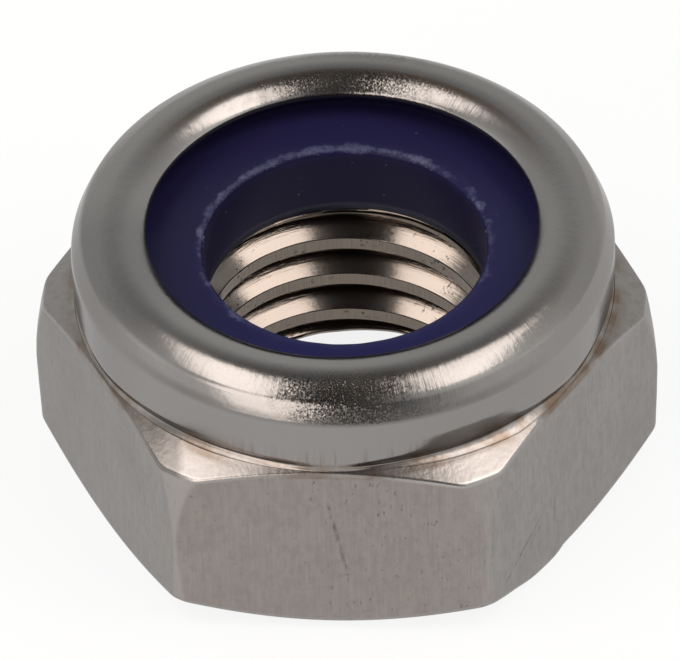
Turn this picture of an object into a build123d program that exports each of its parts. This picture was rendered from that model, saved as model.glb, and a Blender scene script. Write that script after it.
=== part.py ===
from build123d import *
from math import cos, radians, sin, sqrt, tan
import os

# Nylon insert lock nut, M10 x 1.5, low form. Two pieces: a one-piece cold-formed stainless body, and a nylon
# ring that sits in its collar and is held there for good by the rolled lip. Millimetres, +Z up along the
# thread, the origin at the centre of the bearing face, and one flat of the hexagon facing -Y.

os.makedirs("parts", exist_ok=True)

# Hexagon. The blank doesn't quite fill its die in the corners: they are fullest half way up, and fall short
# towards the bearing face and more so towards the collar, which leaves narrow tapering faces on them.
across_flats = 16.86
foot_corner_loss = 0.12  # short of a sharp corner, at the bearing face
full_corner_loss = 0.03  # where they are fullest
full_corner_height = 3.5
shoulder_corner_loss = 0.38  # and at the collar
shoulder_height = 6.6  # where the upper chamfer ends, at the foot of the collar
bearing_diameter = 15.7
foot_chamfer_angle = 30.0
shoulder_chamfer_angle = 24.0

# Collar and rolled lip
total_height = 9.7
collar_step = 0.02  # how far the collar stands back from the flats
collar_wall = 1.06
groove_height = 0.5  # undercut at the collar's foot
groove_depth = 0.2
groove_bottom = 0.12  # height of its deepest line above the shoulder
shoulder_step = 0.05  # how far the collar overhangs the upper chamfer's inner edge
lip_roll_radius = 1.35  # outside of the roll
lip_roll_sweep = 135.0
lip_nose_radius = 0.2

# Bore, and the pocket for the ring
minor_diameter = 8.66  # crests of the thread
countersink_diameter = 10.7
countersink_angle = 120.0
seat_height = 5.85
seat_bevel = 0.1  # where the bore opens into the pocket
pocket_corner_bevel = 0.2

# Nylon ring
ring_bore_diameter = 8.76
ring_face_drop = 0.06  # the face that shows lies this far below the centre of the lip's roll
ring_rim_width = 0.3  # sloping rim, squeezed up against the lip
ring_edge_chamfer = 0.3  # clears the bevel in the corner of the pocket
ring_clearance = 0.03

# Places that follow from the sizes above
collar_radius = across_flats / 2 - collar_step
pocket_radius = collar_radius - collar_wall
roll_radius_center = collar_radius - lip_roll_radius
roll_height = total_height - lip_roll_radius
roll_cos = cos(radians(lip_roll_sweep))
roll_sin = sin(radians(lip_roll_sweep))
lip_nose = (roll_radius_center + lip_roll_radius * roll_cos, roll_height + lip_roll_radius * roll_sin)
lip_heel_radius = lip_roll_radius - collar_wall
lip_heel = (roll_radius_center + lip_heel_radius * roll_cos, roll_height + lip_heel_radius * roll_sin)

# The corner faces run straight from each chamfer to where the corner is fullest.
sharp_corner = across_flats / sqrt(3)
foot_corner = sharp_corner - foot_corner_loss
foot_corner_height = (foot_corner - bearing_diameter / 2) * tan(radians(foot_chamfer_angle))
full_corner = sharp_corner - full_corner_loss
shoulder_corner = sharp_corner - shoulder_corner_loss
shoulder_radius = collar_radius - shoulder_step
shoulder_drop = (shoulder_corner - shoulder_radius) * tan(radians(shoulder_chamfer_angle))

countersink_depth = (countersink_diameter - minor_diameter) / 2 / tan(radians(countersink_angle / 2))

# Steel body: the turned section gives the bore, pocket, collar, lip, chamfers and corners, and the hexagon
# trims it to its flats.
with BuildPart() as nut_body:
    with BuildSketch(Plane.XZ) as body_section:
        with BuildLine():
            Polyline(
                (collar_radius, roll_height),
                (collar_radius, shoulder_height + groove_height),
                (collar_radius - groove_depth, shoulder_height + groove_bottom),
                (shoulder_radius, shoulder_height),
                (shoulder_corner, shoulder_height - shoulder_drop),
                (full_corner, full_corner_height),
                (foot_corner, foot_corner_height),
                (bearing_diameter / 2, 0),
                (countersink_diameter / 2, 0),
                (minor_diameter / 2, countersink_depth),
                (minor_diameter / 2, seat_height - seat_bevel),
                (minor_diameter / 2 + seat_bevel, seat_height),
                (pocket_radius - pocket_corner_bevel, seat_height),
                (pocket_radius, seat_height + pocket_corner_bevel),
                (pocket_radius, roll_height),
                lip_heel,
                lip_nose,
            )
            CenterArc((roll_radius_center, roll_height), lip_roll_radius, 0, lip_roll_sweep)
        make_face()
        fillet(body_section.vertices().sort_by_distance((*lip_nose, 0))[0], lip_nose_radius)
    revolve(axis=Axis.Z)
    with BuildSketch():
        RegularPolygon(across_flats / 2, 6, major_radius=False)
    extrude(amount=total_height, mode=Mode.INTERSECT)
nut_body.part.label = "nut_body"
export_step(nut_body.part, "parts/nut_body.step")

# Nylon ring: it stands on the seat, fills the pocket and rises under the lip, with a small clearance all round.
ring_radius = pocket_radius - ring_clearance
rim_crest = (lip_heel[0], lip_heel[1] - ring_clearance)
ring_face = roll_height - ring_face_drop

with BuildPart() as nylon_ring:
    with BuildSketch(Plane.XZ):
        with BuildLine():
            Polyline(
                (ring_bore_diameter / 2, seat_height),
                (ring_radius - ring_edge_chamfer, seat_height),
                (ring_radius, seat_height + ring_edge_chamfer),
                (ring_radius, roll_height - ring_clearance),
                rim_crest,
                (rim_crest[0] - ring_rim_width, ring_face),
                (ring_bore_diameter / 2, ring_face),
                close=True,
            )
        make_face()
    revolve(axis=Axis.Z)
nylon_ring.part.label = "nylon_ring"
export_step(nylon_ring.part, "parts/nylon_ring.step")
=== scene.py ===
import math

import bpy
import bmesh
import numpy as np
from mathutils import Matrix, Vector


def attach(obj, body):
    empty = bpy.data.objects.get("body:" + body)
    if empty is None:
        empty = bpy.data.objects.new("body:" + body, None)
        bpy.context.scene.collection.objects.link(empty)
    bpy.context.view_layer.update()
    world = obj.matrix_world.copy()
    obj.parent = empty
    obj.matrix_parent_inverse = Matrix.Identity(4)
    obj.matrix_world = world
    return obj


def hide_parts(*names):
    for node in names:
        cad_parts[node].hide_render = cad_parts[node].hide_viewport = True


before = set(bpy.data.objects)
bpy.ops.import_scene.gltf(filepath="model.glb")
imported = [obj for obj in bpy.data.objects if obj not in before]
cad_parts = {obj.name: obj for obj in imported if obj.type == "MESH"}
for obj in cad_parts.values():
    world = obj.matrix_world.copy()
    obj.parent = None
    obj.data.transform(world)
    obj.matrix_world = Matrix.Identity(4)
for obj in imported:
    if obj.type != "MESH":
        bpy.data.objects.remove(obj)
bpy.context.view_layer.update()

# Steel body, outside: a stainless blank, cold-formed in one piece. The hexagon is drawn, its chamfers and the
# collar are turned, and the collar's mouth is rolled in over the ring. It is laid out as rows of points, each
# once round the nut, from the edge of the bore underneath, up the outside, over the lip and down to the seat.
mm = 0.001
columns = 360
corner_crowding = 0.65  # columns stand closer together at the six corners
turn = np.arange(columns) * 2 * math.pi / columns
azimuth = turn - corner_crowding / 6 * np.sin(6 * turn)

flat_distance = 8.43
corner_heights = (1.02, 1.5, 2.4, 3.5, 4.2, 4.9, 5.76, 6.16)
corner_radii = (9.614, 9.63, 9.67, 9.704, 9.67, 9.595, 9.455, 9.354)
bearing_radius, bearing_edge = 7.85, 7.9
turned_to = np.degrees(azimuth)
# a knock under the right flat has pressed its lower edge down and cut the chamfer short
knock = np.interp(turned_to, (302, 308, 314, 320, 323, 324.5, 326), (0, 0.1, 0.36, 0.42, 0.36, 0.05, 0))
foot_slope = math.tan(math.radians(30)) * (1 - knock)
collar_foot, collar_foot_height, shoulder_slope = 8.36, 6.6, math.tan(math.radians(24))
undercut_radius, undercut_top, undercut_slope = 8.22, 6.77, 0.21
collar_radius, wall_top = 8.41, 8.35
roll_radius, nose_radius, nut_height = 1.35, 0.2, 9.7
mouth_radius, seat_edge, pocket_radius, seat_height = 5.35, 5.3, 7.35, 5.85
bore_center = (0.154, 0.047)  # tapped a little off the hexagon's centre
collar_center = (0.02, -0.018)
hexagon = flat_distance / np.cos((azimuth % (math.pi / 3)) - math.pi / 6)


def side_radius(height):
    """Distance from the axis to the hexagon's side at a height, once round the nut."""
    corner = np.interp(height, corner_heights, corner_radii)
    # the smaller of the two, rounded over where they meet; near only keeps the powers small
    soft, near = 0.03, 8
    return -soft * np.log(np.exp((near - hexagon) / soft) + np.exp((near - corner) / soft)) + near


def on_corner(height):
    """Share of the side that is the corner's narrow face at a height, once round the nut."""
    fade = 0.012
    return 1 / (1 + np.exp((np.interp(height, corner_heights, corner_radii) - hexagon) / fade))


rows = []
run_so_far = [0.0]
skin_radius = 8.4


def add_row(radius, height, center=(0.0, 0.0), finish=(0.0, 0.0, 0.0)):
    """One row of points, with how much of it is drawn, rolled, cut, and on a corner's narrow face.

    Each point also gets its place on the skin laid flat: round the nut, and along the section.
    """
    radius, height = radius + 0 * azimuth, height + 0 * azimuth
    place = np.stack([radius * np.cos(azimuth) + center[0], radius * np.sin(azimuth) + center[1], height], 1)
    if rows:
        run_so_far[0] += float(np.linalg.norm(place - rows[-1][0], axis=1).mean())
    across_skin = [skin_radius * np.cos(azimuth), skin_radius * np.sin(azimuth)]
    skin = np.stack([*across_skin, run_so_far[0] + 0 * azimuth], 1)
    shares = np.stack([share + 0 * azimuth for share in (*finish, 0.0)[:4]], 1)
    rows.append((place, shares, skin))


def rounded_edge(first, edge, last, steps=4):
    """Points of a small rounded edge, from (radius, height) first to last."""
    for share in np.linspace(0, 1, steps + 1):
        a, b, c = (1 - share) ** 2, 2 * share * (1 - share), share**2
        yield a * first[0] + b * edge[0] + c * last[0], a * first[1] + b * edge[1] + c * last[1]


drawn, rolled, cut, plain = (1, 0, 0), (0, 1, 0), (0, 0, 1), (0, 0, 0)

# Bearing face and foot chamfer, both turned
for radius in (mouth_radius, mouth_radius + 0.05):
    add_row(radius, 0, bore_center, cut)
for radius in (6.2, 7.0, 7.7, 7.81):
    add_row(radius, 0, finish=cut)
for radius, height in ((bearing_radius, 0.007), (bearing_edge, 0.03)):
    add_row(radius, height, finish=cut)
rounds = 4  # of working out the height at which a chamfer meets the side
foot_height = corner_heights[0] + 0 * azimuth
for _ in range(rounds):
    foot_height = (side_radius(foot_height) - bearing_radius) * foot_slope
foot_radius = side_radius(foot_height)
edge_width = 0.09
last = foot_radius - edge_width
for share in (0.3, 0.65, 0.94):
    radius = bearing_edge + share * (last - bearing_edge)
    add_row(radius, (radius - bearing_radius) * foot_slope, finish=cut)
chamfer_end = (last, (last - bearing_radius) * foot_slope)
side_start = (side_radius(foot_height + edge_width), foot_height + edge_width)
for radius, height in rounded_edge(chamfer_end, (foot_radius, foot_height), side_start):
    add_row(radius, height, finish=plain)

# The six flats and the narrow faces on their corners
top_height = corner_heights[-1] + 0 * azimuth
for _ in range(rounds):
    top_height = collar_foot_height - (side_radius(top_height) - collar_foot) * shoulder_slope
top_radius = side_radius(top_height)
low, high = foot_height + edge_width, top_height - edge_width
for share in (0.012, *np.linspace(0.04, 0.96, 24), 0.988):
    height = low + share * (high - low)
    add_row(side_radius(height), height, finish=(*drawn, on_corner(height)))
chamfer_width = top_radius - collar_foot
last = top_radius - np.minimum(0.07, 0.4 * chamfer_width)
side_end = (side_radius(high), high)
chamfer_start = (last, collar_foot_height - (last - collar_foot) * shoulder_slope)
for radius, height in rounded_edge(side_end, (top_radius, top_height), chamfer_start):
    add_row(radius, height, finish=plain)

# Shoulder chamfer, with the fine line that the collar's die leaves round it. At one corner the collar's foot
# has spread outwards, with a deeper hollow above it.
flare = np.interp(turned_to, (284, 295, 305, 312, 319, 328), (0, 0.07, 0.12, 0.18, 0.11, 0))
notch = 8.372 + flare
for share in (0.05, 0.25, 0.5, 0.75, 0.97):
    radius = last + share * (np.minimum(notch, last) - last)
    center = (collar_center[0] * share, collar_center[1] * share)
    add_row(radius, collar_foot_height - (radius - collar_foot) * shoulder_slope, center, plain)
over_flat = np.exp(-((((turned_to % 60) - 30) / 12) ** 2))
leaning = np.interp(turned_to, (276, 287, 297, 305, 312, 318), (0, 0.45, 0.85, 1.0, 0.8, 0))
for corner, share in ((0, 0.35), (60, 0.2), (120, 0.2), (180, 0.3), (240, 0.1)):
    leaning += share * np.exp(-((((turned_to - corner + 180) % 360 - 180) / 18) ** 2))


def add_foot_row(radius, height):
    """A row of the undercut at the collar's foot: shallower over the flats, leaning in over the corners."""
    lean_radius = undercut_radius + undercut_slope * max(0.0, height - undercut_top)
    radius = radius + leaning * (min(radius, lean_radius) - radius)
    inset = (collar_radius - radius) * (1 - 0.6 * over_flat)
    add_row(collar_radius - inset, height, collar_center, rolled if height > 6.75 else plain)


for radius, height in ((8.37, 6.596), (collar_foot, 6.580), (8.35, 6.604), (8.33, 6.620)):
    add_row(radius + flare, height - 0.45 * flare, collar_center, plain)
for radius, height in ((8.27, 6.668), (8.23, 6.706), (undercut_radius, 6.722), (8.215, 6.74)):
    add_foot_row(radius, height)
add_foot_row(undercut_radius, undercut_top)

# Collar: undercut at its foot, straight above, then the roll and the lip's nose
for radius, height in ((8.27, 6.85), (8.33, 6.94), (8.385, 7.03), (8.403, 7.09)):
    add_foot_row(radius, height)
for height in (7.16, 7.25, 7.37, 7.5, 7.63, 7.7):
    add_foot_row(collar_radius, height)
for height in (7.8, 8.0, 8.15, 8.3):
    add_row(collar_radius, height, collar_center, rolled)
roll_center = collar_radius - roll_radius


def on_roll(degrees):
    """Point of the roll's circle in section, at an angle above its widest."""
    angle = np.radians(degrees)
    return roll_center + roll_radius * np.cos(angle), wall_top + roll_radius * np.sin(angle)


def band(first, last, bulge, steps):
    """Rows of a broad band in section between two points, with a slight bulge outwards."""
    along = (last[0] - first[0], last[1] - first[1])
    for share in np.linspace(0, 1, steps + 1):
        out = 4 * bulge * share * (1 - share) / np.hypot(*along)
        radius = first[0] + along[0] * share + along[1] * out
        add_row(radius, first[1] + along[1] * share - along[0] * out, collar_center, rolled)


# The die has left two broad bands with a crease between them, under a rounder crown. It came down a little
# askew, so they sit lower towards +X.
toward_east = np.cos(azimuth)
start = 7.5 - 5 * toward_east
for share in (0.3, 0.6, 0.85):
    add_row(*on_roll(start * share), collar_center, rolled)
galled_from = run_so_far[0]
low_start = on_roll(start)
crease = (8.09, 9.195 - 0.055 * toward_east)
crown_start = (7.712, 9.507)
band(low_start, (crease[0] + 0.026, crease[1] - 0.031), 0.009, 8)
add_row(crease[0] - 0.004, crease[1], collar_center, rolled)
band((crease[0] - 0.025, crease[1] + 0.027), crown_start, 0.008, 7)
crown_from = 57
crown_radius = (crown_start[0] - roll_center) / math.cos(math.radians(crown_from))
for degrees in np.linspace(crown_from, 90, 12)[1:]:
    angle = math.radians(degrees)
    spot = (roll_center + crown_radius * math.cos(angle), nut_height - crown_radius * (1 - math.sin(angle)))
    add_row(*spot, collar_center, rolled)
galled_to = run_so_far[0]


def add_arc(center, arc_radius, angles):
    """Rows of an arc in section round a (radius, height) spot, at angles from straight up."""
    for angle in angles:
        lean = math.radians(angle)
        radius, height = center[0] + arc_radius * math.sin(lean), center[1] + arc_radius * math.cos(lean)
        add_row(radius, height, collar_center, rolled)


add_arc((roll_center, wall_top), roll_radius, np.linspace(0, -45, 15)[1:])
nose_offset = (roll_radius - nose_radius) * math.sqrt(0.5)
add_arc((roll_center - nose_offset, wall_top + nose_offset), nose_radius, np.linspace(-60, -135, 7))

# Under the lip, down the pocket that holds the ring, and in over the ring's seat
for radius, height in ((6.4, 9.0), (6.84, 8.565), (7.2, 8.42), (pocket_radius, wall_top)):
    add_row(radius, height, collar_center, plain)
for radius, height in ((pocket_radius, 6.05), (7.15, seat_height), (6.0, seat_height)):
    add_row(radius, height, collar_center, plain)
add_row(seat_edge, seat_height, bore_center, cut)


def faces_between(row_count, closed=False):
    """The faces between rows that go once round the nut, and from the last row to the first if closed."""
    made = []
    for row in range(row_count if closed else row_count - 1):
        after = (row + 1) % row_count
        for column in range(columns):
            following = (column + 1) % columns
            near, far = row * columns, after * columns
            made.append((near + column, near + following, far + following, far + column))
    return made


points = np.concatenate([place for place, _, _ in rows]) * mm
shell = bpy.data.meshes.new("nut_shell")
shell.from_pydata(points.tolist(), [], faces_between(len(rows)))
finish = shell.attributes.new("finish", "FLOAT_COLOR", "POINT")
finish.data.foreach_set("color", np.concatenate([shares for _, shares, _ in rows]).astype(np.float32).ravel())
skin = shell.attributes.new("skin", "FLOAT_VECTOR", "POINT")
skin.data.foreach_set("vector", np.concatenate([spots for _, _, spots in rows]).astype(np.float32).ravel())


def add_object(name, data):
    """An object in the scene with this name and data."""
    made = bpy.data.objects.new(name, data)
    bpy.context.scene.collection.objects.link(made)
    return made


steel_nut = add_object("steel_nut", shell)

# Stainless steel: drawn on the flats, where fine lines run up and down; burnished by the dies on the collar
# and lip, with a light orange peel; and cut in the thread and underneath.
steel = bpy.data.materials.new("stainless")


def add_node(kind, *inputs, **settings):
    """A node in the tree in hand, with its settings; its inputs are given in order, as values or sockets."""
    made = tree.nodes.new(kind)
    for name, value in settings.items():
        setattr(made, name, value)
    for place, value in enumerate(inputs):
        if isinstance(value, bpy.types.NodeSocket):
            tree.links.new(value, made.inputs[place])
        elif value is not None:
            made.inputs[place].default_value = value
    return made


def calculate(operation, *inputs):
    """A math node's result."""
    return add_node("ShaderNodeMath", *inputs, operation=operation).outputs[0]


def vector(operation, *inputs):
    """A vector math node's result, which for a length or a dot product is a number."""
    found = add_node("ShaderNodeVectorMath", *inputs, operation=operation).outputs
    return found["Value"] if operation in ("LENGTH", "DOT_PRODUCT") else found[0]


def separate(value):
    """A vector's three numbers."""
    return add_node("ShaderNodeSeparateXYZ", value).outputs


def combine(*values):
    """A vector of three numbers."""
    return add_node("ShaderNodeCombineXYZ", *values).outputs[0]


def start_tree(owner):
    """An empty node tree for a material or a world."""
    owner.use_nodes = True
    owner.node_tree.nodes.clear()
    return owner.node_tree


tree = start_tree(steel)
place = add_node("ShaderNodeTexCoord").outputs["Object"]
over_skin = add_node("ShaderNodeAttribute", attribute_name="skin").outputs["Vector"]
kind = add_node("ShaderNodeAttribute", attribute_name="finish").outputs
is_drawn, is_rolled, is_cut = add_node("ShaderNodeSeparateColor", kind["Color"]).outputs
is_corner = kind["Alpha"]


def noise_texture(scale, detail, rough, over):
    """Both results of a noise over a vector, a number and a colour; scale is in cells per unit."""
    stretched = add_node("ShaderNodeMapping", over, None, None, scale)
    return add_node("ShaderNodeTexNoise", stretched.outputs[0], None, 1.0, detail, rough).outputs


def noise(scale, detail=2.0, rough=0.5, over=None):
    """Noise from 0 to 1 over the object's own coordinates in metres, or over another vector."""
    return noise_texture(scale, detail, rough, over or place)[0]


def ramp(value, low, high, first=0.0, last=1.0):
    """The value taken from low..high to first..last, and held beyond them."""
    return add_node("ShaderNodeMapRange", value, low, high, first, last).outputs[0]


def product(*values):
    """The values multiplied together."""
    result = values[0]
    for value in values[1:]:
        result = calculate("MULTIPLY", result, value)
    return result


def total(*values):
    """The values added up."""
    result = values[0]
    for value in values[1:]:
        result = calculate("ADD", result, value)
    return result


def difference(value, taken):
    """The first value less the second."""
    return calculate("SUBTRACT", value, taken)


def highest(*values):
    """The highest of the values."""
    result = values[0]
    for value in values[1:]:
        result = calculate("MAXIMUM", result, value)
    return result


def between(value, low, full_low, full_high, high):
    """A share that rises from low to full_low, and falls from full_high to high."""
    return product(ramp(value, low, full_low), ramp(value, high, full_high))


def distance_out():
    """Distance from the nut's axis, in metres."""
    return vector("LENGTH", vector("MULTIPLY", place, (1, 1, 0)))


def blend(share, first, last):
    """A colour between two, by a share."""
    made = add_node("ShaderNodeMix", share, data_type="RGBA")
    color_in = [socket for socket in made.inputs if socket.type == "RGBA"]
    for socket, value in zip(color_in, (first, last)):
        if isinstance(value, bpy.types.NodeSocket):
            tree.links.new(value, socket)
        else:
            socket.default_value = (*value, 1)
    return made.outputs[2]


def relief(height):
    """A bump node from a height in metres."""
    made = add_node("ShaderNodeBump", 1.0, 1.0)
    tree.links.new(height, made.inputs["Height"])
    return made.outputs[0]


def end_shader(color, rough, normal, **settings):
    """Ends the tree in hand with the surface's shader, by these sockets and its own fixed settings."""
    shader = add_node("ShaderNodeBsdfPrincipled")
    for name, value in settings.items():
        shader.inputs[name.replace("_", " ")].default_value = value
    for name, socket in (("Base Color", color), ("Roughness", rough), ("Normal", normal)):
        tree.links.new(socket, shader.inputs[name])
    add_node("ShaderNodeOutputMaterial", shader.outputs[0])


is_turned = difference(1.0, total(is_drawn, is_rolled, is_cut))
is_crest = add_node("ShaderNodeAttribute", attribute_name="crest").outputs["Fac"]
is_root = add_node("ShaderNodeAttribute", attribute_name="root").outputs["Fac"]
along = separate(over_skin)
at = separate(place)
at_mm = separate(vector("SCALE", place, None, None, 1000.0))
outward = distance_out()
# fine lines: round the axis where it is cut, and up the flats and the thread's crests
turning = noise((8000, 8000, 8000), 3, 0.65, combine(outward, at[2], 0.0))
draw_lines = noise((12000, 12000, 480), 4, 0.65)
wide_lines = noise((3500, 3500, 90), 2)
bore_lines = noise((19000, 19000, 700), 3, 0.6)
peel = noise((3, 3, 3), 2, 0.5, over_skin)
# faint lines that the die has drawn up the collar and over the lip, mostly towards +X
brushed = product(noise((10, 10, 0.5), 3, 0.65, over_skin), ramp(along[0], -3.0, 3.0, 0.3, 1.0))
# where the die has galled the roll, in front and at the back, and the lip's inside at the back
sideways = calculate("ABSOLUTE", total(along[0], -0.6))
uneven = ramp(noise((1.6, 1.6, 1.6), 2, 0.5, over_skin), 0.3, 0.7, -0.7, 0.7)
galled = ramp(total(sideways, uneven), 0.4, 2.4, 1.0, 0.1)
galled = product(galled, between(along[2], galled_from, galled_from + 0.25, galled_to - 0.5, galled_to))
uneven = ramp(noise((2, 2, 2), 2, 0.5, over_skin), 0.3, 0.7, -0.6, 0.6)
galled_back = ramp(total(along[1], uneven), 6.9, 8.2)
lip_inside = between(along[2], galled_to + 0.28, galled_to + 0.4, galled_to + 1.1, galled_to + 1.35)
galled = highest(galled, product(galled_back, 0.8, lip_inside))
# forged grain, broad clouding, fine grit, pits and dirt
forged = noise((4200, 4200, 4200), 3, 0.55)
cloud = noise((350, 350, 300), 3)
grit = noise((9000, 9000, 9000), 3, 0.6)
pit_field = ramp(noise((260, 260, 200), 1), 0.45, 0.62)
pits = product(ramp(noise((7500, 7500, 3200), 2, 0.5), 0.65, 0.73), pit_field)
specks = ramp(noise((8000, 8000, 8000), 2, 0.5), 0.70, 0.76)
grime = ramp(noise((700, 700, 900), 2), 0.5, 0.62)
grime = product(grime, ramp(noise((6500, 6500, 6500), 2, 0.6), 0.60, 0.68))


def scratch(flat, start, end, width, strength):
    """Share of a straight scratch on a flat, between two (sideways, height) spots in mm."""
    length = math.dist(start, end)
    run, rise = (end[0] - start[0]) / length, (end[1] - start[1]) / length
    offset = vector("SUBTRACT", flat[0], (*start, 0.0))
    ahead = vector("DOT_PRODUCT", offset, (run, rise, 0))
    beside = vector("DOT_PRODUCT", offset, (-rise, run, 0))
    line = ramp(calculate("ABSOLUTE", beside), width, 0.2 * width)
    return product(line, ramp(ahead, 0.0, 0.4), ramp(ahead, length, length - 0.5), flat[1], strength)


def flat_towards(degrees):
    """Place on the flat that faces this way, as (sideways, height) in mm, and the share of being on it."""
    lengths = []
    for turned in (degrees + 90, degrees):
        direction = (1000 * math.cos(math.radians(turned)), 1000 * math.sin(math.radians(turned)), 0)
        lengths.append(vector("DOT_PRODUCT", place, direction))
    return combine(lengths[0], at_mm[2], 0.0), ramp(lengths[1], 8.35, 8.41)


front_flat, right_flat = flat_towards(270), flat_towards(330)
scratches = 0.0
for made in (
    scratch(right_flat, (-4.2, 1.3), (-1.75, 2.7), 0.07, 0.9),
    scratch(right_flat, (-3.1, 1.6), (-1.6, 2.5), 0.05, 0.6),
    scratch(right_flat, (-1.25, 1.7), (-1.15, 3.1), 0.06, 0.8),
    scratch(right_flat, (0.6, 3.2), (0.62, 4.1), 0.05, 0.6),
    scratch(front_flat, (-0.1, 5.5), (0.5, 2.2), 0.09, 0.9),
):
    scratches = highest(scratches, made)
scratches = product(scratches, ramp(noise((6000, 6000, 4000), 3, 0.6), 0.4, 0.6, 0.1, 1.0))

# its relief, in metres
height = total(
    product(draw_lines, is_drawn, 1.6e-6),
    product(wide_lines, is_drawn, 2.2e-6),
    product(turning, is_cut, 8.0e-6),
    product(bore_lines, is_crest, 1.2e-6),
    product(peel, is_rolled, 0.5e-5),
    product(brushed, is_rolled, 5.0e-6),
    product(forged, is_turned, 0.5e-5),
    product(grit, 1.2e-6),
    product(pits, is_drawn, -4e-6),
    product(scratches, -6e-6),
)
# where the die has galled the lip, small spots lean every way
spots = noise_texture((15, 15, 14), 2.0, 0.6, over_skin)
dark_spots = product(galled, is_rolled, ramp(spots[0], 0.44, 0.6))
lean = vector("SUBTRACT", spots["Color"], (0.5, 0.5, 0.5))
lean = vector("SCALE", lean, None, None, product(galled, is_rolled, 0.6))
# the tap was pushed a little to one side, so the flanks lean towards -X
pushed = combine(product(is_cut, total(product(at[0], 20.0), -0.02)), 0.0, 0.0)
surface = vector("NORMALIZE", vector("ADD", relief(height), vector("ADD", lean, pushed)))
rough = total(0.25, product(is_drawn, 0.1), product(is_rolled, -0.04), product(is_cut, -0.11))
rough = total(rough, ramp(cloud, 0.3, 0.7, -0.02, 0.04))

# its colours: bare steel, then a painted warm reflection on the front flat, drawn lines, mottling and the
# collar a little darker towards +X
tint = blend(ramp(cloud, 0.35, 0.65), (0.305, 0.289, 0.278), (0.284, 0.266, 0.254))
warm_front_reflection = product(front_flat[1], is_drawn, ramp(noise((700, 700, 500), 3), 0.3, 0.7, 0.4, 0.9))
tint = blend(warm_front_reflection, tint, (0.305, 0.262, 0.241))
tint = blend(product(is_drawn, ramp(draw_lines, 0.35, 0.65, 0.0, 0.4)), tint, (0.205, 0.19, 0.18))
mottled = ramp(noise((4200, 4200, 2400), 3, 0.65), 0.45, 0.62, 0.0, 0.4)
tint = blend(product(is_drawn, mottled), tint, (0.22, 0.198, 0.182))
# the collar and lip a little darker towards +X
collar_darker_east = blend(ramp(along[0], -1.0, 4.0), (0.277, 0.261, 0.25), (0.252, 0.237, 0.227))
tint = blend(product(is_rolled, ramp(cloud, 0.3, 0.7, 1.0, 0.75)), tint, collar_darker_east)
# painted shade: the collar, and less so the flats, are painted darker on the left
painted_shade_left = product(ramp(along[0], -5.6, -7.3), ramp(along[1], 1.0, -1.0))
painted_shade_left = product(painted_shade_left, total(product(is_rolled, 0.8), product(is_drawn, 0.3)))
tint = blend(painted_shade_left, tint, (0.215, 0.206, 0.199))
# the galled lip, and painted shade: a dark band low on the front of the roll, where it reflects no lamp
tint = blend(product(galled, is_rolled, 0.4), tint, (0.14, 0.126, 0.114))
roll_foot_shade = between(along[2], galled_from - 0.05, galled_from + 0.08, galled_from + 0.2, galled_from + 0.38)
roll_foot_shade = product(is_rolled, roll_foot_shade, ramp(along[1], -5.0, -7.0), ramp(cloud, 0.3, 0.7, 0.7, 1.0))
tint = blend(product(roll_foot_shade, 0.6), tint, (0.13, 0.12, 0.113))
tint = blend(product(dark_spots, 0.6), tint, (0.09, 0.08, 0.07))
# painted light: the corners' narrow faces are painted brighter, most of all on the left
tint = blend(product(is_corner, ramp(along[0], -3.0, -4.0, 0.3, 0.75)), tint, (0.36, 0.33, 0.31))
# brown round the collar's foot, more towards +X, and rub marks low on the front of the collar
on_ledge = product(ramp(outward, 0.00862, 0.00856), ramp(at_mm[2], 6.3, 6.4))
at_foot = product(highest(on_ledge, ramp(at_mm[2], 6.35, 6.6)), ramp(at_mm[2], 6.98, 6.78))
at_foot = product(at_foot, ramp(noise((900, 900, 900), 3, 0.6), 0.38, 0.6, 0.15, 1.0))
tint = blend(product(at_foot, ramp(at_mm[0], 2.0, 4.0, 0.6, 0.85)), tint, (0.17, 0.115, 0.075))
rubbed = product(ramp(at_mm[2], 7.7, 7.0), ramp(at_mm[1], -7.6, -8.0), is_rolled, 0.5)
rubbed = product(rubbed, ramp(noise((7000, 7000, 260), 3, 0.6), 0.5, 0.68))
tint = blend(rubbed, tint, (0.13, 0.1, 0.08))
tint = blend(product(is_turned, ramp(forged, 0.5, 0.68, 0.0, 0.4)), tint, (0.225, 0.182, 0.152))
# painted highlight: the chamfers at the corners in front are painted brighter, more towards +X; one still
# wears grey scale on its side
corner_top = product(is_turned, ramp(at_mm[2], 5.2, 5.6), ramp(at_mm[1], -5.5, -6.5))
to_side = calculate("ABSOLUTE", at_mm[0])
painted_chamfer_highlight = product(corner_top, ramp(outward, 0.00858, 0.00868), ramp(to_side, 1.2, 3.0))
painted_chamfer_highlight = product(painted_chamfer_highlight, ramp(to_side, 4.5, 5.5, 1.0, 0.2))
tint = blend(product(painted_chamfer_highlight, ramp(at_mm[0], -1.0, 1.0, 0.4, 0.85)), tint, (0.4, 0.372, 0.353))
scaled = product(corner_top, ramp(total(at_mm[0], ramp(cloud, 0.3, 0.7, -0.25, 0.25)), -4.55, -4.9))
tint = blend(product(scaled, ramp(at_mm[0], -5.4, -6.2, 0.7, 0.0)), tint, (0.148, 0.136, 0.128))
# a brown edge inside the lip at the back, then the thread and what dirt has caught in
inner_edge = between(along[2], galled_to + 0.24, galled_to + 0.34, galled_to + 0.36, galled_to + 0.6)
inner_edge = product(inner_edge, ramp(along[1], 3.0, 6.5), ramp(cloud, 0.4, 0.6, 0.3, 0.8))
tint = blend(inner_edge, tint, (0.2, 0.14, 0.1))
tint = blend(product(is_cut, 0.85), tint, (0.228, 0.194, 0.168))
# painted shade: the thread is painted dark brown deep in its roots, the deeper the darker
tint = blend(product(is_root, 0.75), tint, (0.11, 0.062, 0.036))
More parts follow.
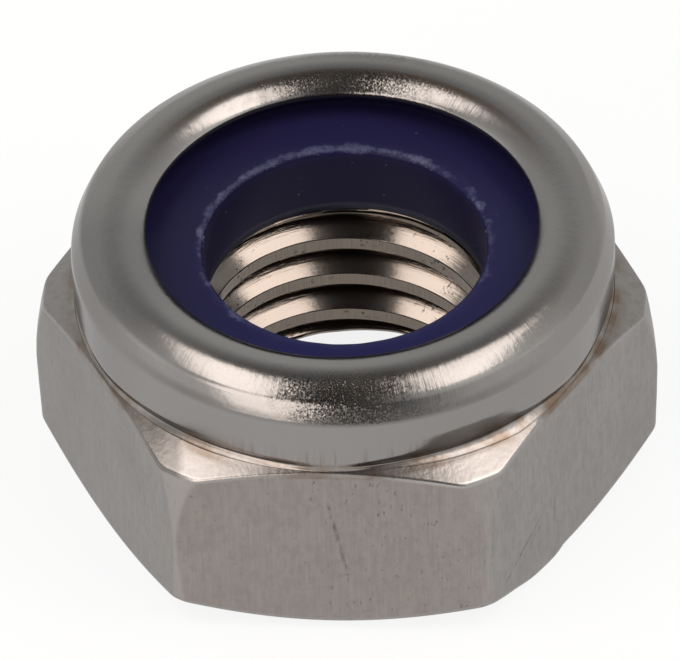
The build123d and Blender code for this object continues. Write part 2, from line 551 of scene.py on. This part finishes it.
# painted shade: the crests are painted darker than the rest of the cut steel, streaked with fine bored lines
tint = blend(product(is_crest, ramp(bore_lines, 0.35, 0.65, 0.62, 0.92)), tint, (0.135, 0.11, 0.09))
tint = blend(product(is_cut, grime, 0.9), tint, (0.03, 0.022, 0.016))
tint = blend(product(is_drawn, pits, total(0.25, product(front_flat[1], 0.35))), tint, (0.07, 0.055, 0.045))
tint = blend(product(scratches, 0.72), tint, (0.1, 0.085, 0.075))
tint = blend(product(specks, 0.35), tint, (0.12, 0.1, 0.085))
end_shader(tint, rough, surface, Metallic=1, Specular_Tint=(0.8, 0.8, 0.8, 1))

# The thread: M10 with a pitch of 1.5 mm, right-handed. Its rows climb with the helix, and it ends in the
# countersink underneath and in a small bevel at the ring's seat.
pitch, row_height, crest_start = 1.5, 0.0625, 4.02
thread_sizes = {
    "Pitch": pitch * mm,
    "Crest radius": 4.37 * mm,
    "Root radius": 5.07 * mm,
    "Crest half width": 0.21875 * mm,
    "Root half width": 0.0,
    "Crest height at start": crest_start * mm,
    "Seat height": seat_height * mm,
    "Seat edge radius": seat_edge * mm,
    "Seat bevel radius": 4.46 * mm,
    "Mouth radius": mouth_radius * mm,
    "Mouth slope": math.tan(math.radians(60)),
    "Row height": row_height * mm,
    "Center X": bore_center[0] * mm,
    "Center Y": bore_center[1] * mm,
    "Corner crowding": corner_crowding,
}
rows_up, sliver = 120, 0.006 * mm


def new_group(name, takes, gives, sizes):
    """A Geometry Nodes tree that takes a mesh and these sizes, and gives a mesh."""
    group = bpy.data.node_groups.new(name, "GeometryNodeTree")
    group.interface.new_socket(takes, in_out="INPUT", socket_type="NodeSocketGeometry")
    group.interface.new_socket(gives, in_out="OUTPUT", socket_type="NodeSocketGeometry")
    for size, value in sizes.items():
        number = "NodeSocketInt" if isinstance(value, int) else "NodeSocketFloat"
        group.interface.new_socket(size, in_out="INPUT", socket_type=number)
    return group


tree = cutter = new_group("cut_thread", "Body", "Threaded body", thread_sizes)
given = add_node("NodeGroupInput").outputs
grid = add_node("GeometryNodeMeshGrid", 1.0, 1.0, columns + 1, rows_up + 2)
spot = separate(add_node("GeometryNodeInputPosition").outputs[0])
around = product(total(spot[0], 0.5), 2 * math.pi)
crowd = product(calculate("SINE", product(around, 6.0)), calculate("DIVIDE", given["Corner crowding"], 6.0))
angle = difference(around, crowd)
row_index = product(total(spot[1], 0.5), float(rows_up + 1))
half_pitch = product(given["Pitch"], 0.5)
lift = product(given["Pitch"], calculate("DIVIDE", angle, 2 * math.pi))
# rows start one pitch below the bearing face, half a row off the crest's middle
first_row = (-pitch + crest_start % row_height - row_height + row_height / 2) * mm
level = total(calculate("MULTIPLY_ADD", row_index, given["Row height"], first_row), lift)
# rows are drawn together at the crests' edges, so the edges stay crisp
phase = difference(difference(level, lift), given["Crest height at start"])
side = calculate("WRAP", phase, half_pitch, product(half_pitch, -1.0))
gap = calculate("ABSOLUTE", side)
pull = 0.0
for pull_from, pull_to, amount in ((0.031, 0.156, 0.04), (0.156, 0.281, -0.08), (0.281, 0.594, 0.04)):
    pull = total(pull, ramp(gap, pull_from * mm, pull_to * mm, 0.0, amount * mm))
level = calculate("MULTIPLY_ADD", pull, calculate("SIGN", side), level)
level = highest(calculate("MINIMUM", level, given["Seat height"]), 0.0)
# rows within a sliver of the bearing face or the seat are moved onto it
level = product(level, calculate("GREATER_THAN", level, sliver))
short = difference(given["Seat height"], level)
short = product(short, calculate("GREATER_THAN", short, sliver))
level = difference(given["Seat height"], short)
phase = difference(difference(level, lift), given["Crest height at start"])
from_crest = calculate("PINGPONG", calculate("ABSOLUTE", phase), half_pitch)
flank_end = difference(half_pitch, given["Root half width"])
flank = ramp(from_crest, given["Crest half width"], flank_end, given["Crest radius"], given["Root radius"])
mouth = difference(given["Mouth radius"], product(level, given["Mouth slope"]))
bevel = difference(given["Seat bevel radius"], difference(given["Seat height"], level))
radius = highest(flank, mouth, bevel)


def mix(share, first, last):
    """A number between two, by a share."""
    return add_node("ShaderNodeMix", share, None, first, last, data_type="FLOAT").outputs[0]


# the last row is the seat's edge
is_last = calculate("GREATER_THAN", row_index, rows_up + 0.5)
radius = mix(is_last, radius, given["Seat edge radius"])
level = mix(is_last, level, given["Seat height"])
east = calculate("MULTIPLY_ADD", radius, calculate("COSINE", angle), given["Center X"])
north = calculate("MULTIPLY_ADD", radius, calculate("SINE", angle), given["Center Y"])
target = combine(east, north, level)
# the steel's colours need to know which points are on a crest, and how deep in the root they are
on_crest = calculate("LESS_THAN", from_crest, total(given["Crest half width"], 0.001 * mm))
deep = ramp(radius, total(given["Crest radius"], 0.35 * mm), given["Root radius"])


def mark(geometry, name, value):
    """The geometry with a number, or a colour, stored on its points."""
    holds = {"data_type": "FLOAT_COLOR" if isinstance(value, tuple) else "FLOAT", "domain": "POINT"}
    made = add_node("GeometryNodeStoreNamedAttribute", geometry, None, name, **holds)
    if isinstance(value, bpy.types.NodeSocket):
        tree.links.new(value, made.inputs["Value"])
    else:
        made.inputs["Value"].default_value = value
    return made.outputs[0]


marked = mark(mark(grid.outputs[0], "crest", on_crest), "root", deep)
wall = add_node("GeometryNodeSetPosition", marked, None, target).outputs[0]


def join(*parts):
    """The parts as one geometry."""
    made = add_node("GeometryNodeJoinGeometry")
    for part in parts:
        tree.links.new(part, made.inputs[0])
    return made.outputs[0]


merged = add_node("GeometryNodeMergeByDistance", join(given["Body"], mark(wall, "finish", (*cut, 0))))
merged.inputs["Distance"].default_value = 0.002 * mm


def end_group(geometry, material):
    """Ends the tree in hand with real geometry that wears the material."""
    real = add_node("GeometryNodeRealizeInstances", geometry)
    dressed = add_node("GeometryNodeSetMaterial", real.outputs[0])
    dressed.inputs["Material"].default_value = material
    add_node("NodeGroupOutput", dressed.outputs[0])


end_group(merged.outputs[0], steel)


def apply_tree(piece, group, values):
    """Gives the piece a Geometry Nodes tree with these inputs, and turns the result into its plain mesh."""
    made = piece.modifiers.new(group.name, "NODES")
    made.node_group = group
    for item in group.interface.items_tree:
        if item.item_type == "SOCKET" and item.in_out == "INPUT" and item.name in values:
            made[item.identifier] = values[item.name]
    result = bpy.data.meshes.new_from_object(piece.evaluated_get(bpy.context.evaluated_depsgraph_get()))
    piece.modifiers.clear()
    piece.data = result
    return result


def finish_mesh(mesh, shortest_edge=None):
    """Drops edges under a length, if one is given, turns the faces outwards and shades them smooth."""
    work = bmesh.new()
    work.from_mesh(mesh)
    if shortest_edge:
        bmesh.ops.dissolve_degenerate(work, dist=shortest_edge, edges=work.edges)
    bmesh.ops.recalc_face_normals(work, faces=work.faces)
    for face in work.faces:
        face.smooth = True
    work.to_mesh(mesh)
    work.free()


finish_mesh(apply_tree(steel_nut, cutter, thread_sizes), shortest_edge=0.0001 * mm)
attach(steel_nut, "root")
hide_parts("nut_body")

# Nylon ring: moulded blue nylon, pressed onto its seat before the lip is rolled over it. Its bore is a little
# smaller than the bolt. The bore's upper edge has frayed, so fine torn shreds stand round it.
nylon = bpy.data.materials.new("blue_nylon")
tree = start_tree(nylon)
place = add_node("ShaderNodeTexCoord").outputs["Object"]
at = separate(place)
torn = add_node("ShaderNodeAttribute", attribute_name="torn").outputs["Fac"]
ragged = total(product(noise((2600, 2600, 2600), 4, 0.65), 0.5), product(noise((650, 650, 650), 1), 0.5))
fine = noise((9000, 9000, 9000), 3, 0.6)
dust = ramp(noise((5200, 5200, 5200), 1, 0.5), 0.78, 0.81)
shred = ramp(total(torn, product(total(ragged, -0.5), 3.2)), 0.5, 0.95)
shred = product(shred, ramp(noise((430, 430, 430), 2), 0.4, 0.58, 0.55, 1.0))
# painted light and shade on its blue: lighter and bluer in front and on the right, darker on the left, down
# in the bore and under the lip at the back
blue = blend(ramp(at[1], 0.001, -0.0045), (0.0138, 0.0116, 0.050), (0.0128, 0.0124, 0.069))
blue = blend(ramp(at[0], 0.002, 0.005, 0.0, 0.5), blue, (0.0138, 0.0142, 0.062))
blue = blend(ramp(at[0], -0.002, -0.005, 0.0, 0.6), blue, (0.0104, 0.0088, 0.035))
blue = blend(ramp(at[2], 0.00815, 0.0079, 0.0, 0.85), blue, (0.0082, 0.0055, 0.0275))
outward = distance_out()
# painted shade under the lip's overhang, round the back and the sides
painted_shade_under_lip = product(ramp(outward, 0.0061, 0.0067, 0.0, 0.85), ramp(at[1], -0.003, 0.002))
blue = blend(painted_shade_under_lip, blue, (0.004, 0.003, 0.012))
blue = blend(product(ramp(fine, 0.4, 0.7), 0.3), blue, (0.012, 0.010, 0.042))
blue = blend(product(shred, ramp(fine, 0.3, 0.6, 0.35, 1.0)), blue, (0.095, 0.10, 0.175))
blue = blend(product(dust, 0.5), blue, (0.16, 0.16, 0.22))
ripple = total(product(ragged, 3.0e-6), product(fine, 1.5e-6), product(shred, 6e-6))
end_shader(blue, ramp(fine, 0.3, 0.7, 0.32, 0.46), relief(ripple), Specular_IOR_Level=0.12)

ring_bore, ring_outer, ring_foot = 4.39, 7.32, 5.87
ring_center = (0.076, 0.04)
# the bore and its rounded upper edge
profile = [(ring_bore, height) for height in (ring_foot, 6.2, 6.6, 7.0, 7.4, 7.7, 7.9, 8.0, 8.08, 8.14)]
profile += [(4.4, 8.19), (4.43, 8.235), (4.48, 8.27), (4.55, 8.292), (4.66, 8.3), (4.8, 8.296)]
# the top, slightly dished, and its slope up under the lip
profile += [(4.95, 8.282), (5.1, 8.272), (5.3, 8.266), (5.6, 8.266), (5.9, 8.272), (6.2, 8.285)]
profile += [(6.4, 8.3), (6.52, 8.315), (6.62, 8.35), (6.838, 8.52), (7.3, 8.33)]
# the outside and the underside
profile += [(ring_outer, height) for height in (8.28, 7.2, 6.2)]
profile += [(radius, ring_foot) for radius in (7.0, 6.2, 5.4, 4.7)]
ring_points, ring_torn = [], []
for radius, height in profile:
    # only the bore is off the hexagon's centre: the outside stays in its pocket
    shift = max(0.0, min(1.0, (6.2 - radius) / 0.6))
    center_x, center_y = ring_center[0] * shift, ring_center[1] * shift
    edge = math.exp(-(((radius - 4.54) / 0.19) ** 2) - ((height - 8.27) / 0.13) ** 2)
    for angle in turn:
        # the edge has torn most at the back and on the left
        wear = 0.62 + 0.38 * math.sin(angle - math.radians(20))
        sag = 0.012 * edge * math.sin(9 * angle + 1) * math.sin(23 * angle)
        spot = (radius * math.cos(angle) + center_x, radius * math.sin(angle) + center_y, height + sag)
        ring_points.append([length * mm for length in spot])
        ring_torn.append(edge * wear)
ring_mesh = bpy.data.meshes.new("nylon_insert")
ring_mesh.from_pydata(ring_points, [], faces_between(len(profile), closed=True))
ring_mesh.attributes.new("torn", "FLOAT", "POINT").data.foreach_set("value", ring_torn)
nylon_insert = add_object("nylon_insert", ring_mesh)

shred_sizes = {
    "Edge radius": 4.44 * mm,
    "Edge height": 8.245 * mm,
    "Spread": 0.05 * mm,
    "Shred length": 0.13 * mm,
    "Shred width": 0.05 * mm,
    "Shred thickness": 0.03 * mm,
    "Center X": ring_center[0] * mm,
    "Center Y": ring_center[1] * mm,
    "Shreds": 240,
    "Seed": 5,
}
tree = shredder = new_group("torn_edge", "Ring", "Torn ring", shred_sizes)
given = add_node("NodeGroupInput").outputs


def chance(low, high, offset):
    """A random number for each shred, from a fixed seed."""
    made = add_node("FunctionNodeRandomValue", data_type="FLOAT")
    made.inputs[2].default_value, made.inputs[3].default_value = low, high
    tree.links.new(total(given["Seed"], float(offset)), made.inputs["Seed"])
    return made.outputs[1]


def spread(offset):
    """A random shift either way, within the spread."""
    return product(chance(-1.0, 1.0, offset), given["Spread"])


circle = add_node("GeometryNodeMeshCircle", given["Shreds"], given["Edge radius"])
edge_center = combine(given["Center X"], given["Center Y"], given["Edge height"])
shift = vector("ADD", edge_center, combine(spread(1), spread(2), spread(3)))
stands = add_node("GeometryNodeSetPosition", circle.outputs[0], None, None, shift).outputs[0]
flake = add_node("GeometryNodeMeshIcoSphere", 1.0, 2)
round_edge = separate(add_node("GeometryNodeInputPosition").outputs[0])
facing = calculate("ARCTAN2", round_edge[1], round_edge[0])
turned = combine(chance(-0.9, 0.9, 5), chance(-0.7, 0.7, 6), total(facing, chance(1.1, 2.0, 4)))
size = combine(given["Shred length"], given["Shred width"], given["Shred thickness"])
size = vector("SCALE", size, None, None, chance(0.15, 0.62, 7))
# more shreds stand at the back, where the edge has torn most
crowded = calculate("MULTIPLY_ADD", calculate("SINE", difference(facing, 0.35)), 0.7, 0.4)
kept = calculate("GREATER_THAN", crowded, chance(0.0, 1.0, 8))
shreds = add_node("GeometryNodeInstanceOnPoints", stands, kept, flake.outputs[0], None, None, turned, size)
loose = add_node("GeometryNodeRealizeInstances", shreds.outputs[0])
whitened = mark(loose.outputs[0], "torn", 0.9)  # bent nylon turns pale
end_group(join(given["Ring"], whitened), nylon)
finish_mesh(apply_tree(nylon_insert, shredder, shred_sizes))
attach(nylon_insert, "root")
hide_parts("nylon_ring")

# Floor: a plain pale table top under the nut. To the eye and in reflections part of it is plain white, and
# the rest shows the light on it, with the nut's shadow.
floor_mesh = bpy.data.meshes.new("floor")
reach = 1.5
corners = [(-reach, -reach, 0), (reach, -reach, 0), (reach, reach, 0), (-reach, reach, 0)]
floor_mesh.from_pydata(corners, [], [(0, 1, 2, 3)])
floor = add_object("floor", floor_mesh)
pale = bpy.data.materials.new("pale_table")
tree = start_tree(pale)
ray = add_node("ShaderNodeLightPath").outputs
reflected = highest(ray["Is Glossy Ray"], ray["Is Transmission Ray"])
white_share = total(product(ray["Is Camera Ray"], 0.86), product(reflected, 0.95))
lit = add_node("ShaderNodeBsdfDiffuse", (0.92, 0.92, 0.92, 1))
white = add_node("ShaderNodeEmission", (1, 1, 1, 1), 1.0)
table = add_node("ShaderNodeMixShader", white_share, lit.outputs[0], white.outputs[0])
add_node("ShaderNodeOutputMaterial", table.outputs[0])
floor_mesh.materials.append(pale)

# Light: a dim room with paler walls round the nut and a dark ceiling, and three plain soft boxes in it, on
# the left, on the right and low in front on the left. They stand half a metre off, and are a little warm.
room = bpy.data.worlds.new("room")
bpy.context.scene.world = room
tree = start_tree(room)
way = add_node("ShaderNodeTexCoord").outputs["Generated"]
toward = separate(way)
overhead = vector("DOT_PRODUCT", way, (0, -0.3, 0.954))
walls = product(ramp(overhead, 0.3, 0.95, 0.76, 0.03), ramp(toward[1], -0.9, -0.3, 0.15, 1.0))
side_glow = product(ramp(calculate("ABSOLUTE", toward[0]), 0.55, 0.85, 0.0, 0.45), ramp(toward[1], 0.3, -0.1))
front_right = vector("DOT_PRODUCT", way, (0.63, -0.6, 0.49))
level = total(walls, side_glow, ramp(front_right, 0.88, 0.99, 0.0, 0.75))
sky = add_node("ShaderNodeBackground", (0.98, 1.0, 1.0, 1), level)
add_node("ShaderNodeOutputWorld", sky.outputs[0])
lamp_distance, lamp_color = 0.5, (1, 0.93, 0.88)


def stand_at(spot, *axes):
    """The placing of an object at a spot, with its three axes along these."""
    return Matrix.Translation(spot) @ Matrix(axes).transposed().to_4x4()


def soft_box(name, toward, size, radiance, swing):
    """An oval lamp that faces the nut from a direction, its long side swung from front-back."""
    outward = Vector(toward).normalized()
    straight = (Vector((0, 1, 0)) - outward * outward.y).normalized()
    along = Matrix.Rotation(math.radians(swing), 3, outward) @ straight
    lamp = bpy.data.lights.new(name, "AREA")
    lamp.shape = "ELLIPSE"
    lamp.size, lamp.size_y = size
    oval_area = size[0] * size[1] * math.pi / 4
    lamp.energy = radiance * math.pi * oval_area
    lamp.color = lamp_color
    spot = outward * lamp_distance
    add_object(name, lamp).matrix_world = stand_at(spot, along.cross(outward), along, outward)


soft_box("left_box", (-0.455, -0.23, 0.86), (0.22, 0.45), 3.75, -9)
soft_box("right_box", (0.538, -0.155, 0.835), (0.3, 0.425), 3.6, 25)
soft_box("low_box", (-0.455, -0.825, 0.32), (0.42, 0.36), 3.1, 72)

# Camera: it looks down at the nut from the front, a touch to the right, through a long lens at arm's length.
# Its focal length is in pixels of a picture 680 pixels wide.
focal_length, picture_width, sensor_width = 12862.15, 680, 36
bearing, elevation, roll = math.radians(4.649), math.radians(42.633), math.radians(2.183)
aim = Vector((-0.1692, 0.0204, 4.776)) * mm
level_out = math.cos(elevation)
back = Vector((math.sin(bearing) * level_out, -math.cos(bearing) * level_out, math.sin(elevation)))
right = Vector((math.cos(bearing), math.sin(bearing), 0))
up = back.cross(right)
across = right * math.cos(roll) - up * math.sin(roll)
upward = right * math.sin(roll) + up * math.cos(roll)
distance = 400 * mm
camera = add_object("camera", bpy.data.cameras.new("camera"))
camera.data.lens = focal_length / picture_width * sensor_width
camera.data.sensor_width = sensor_width
camera.data.clip_start = 0.01
camera.matrix_world = stand_at(aim + back * distance, across, upward, back)
bpy.context.scene.camera = camera
bpy.context.scene.view_settings.view_transform = "Standard"
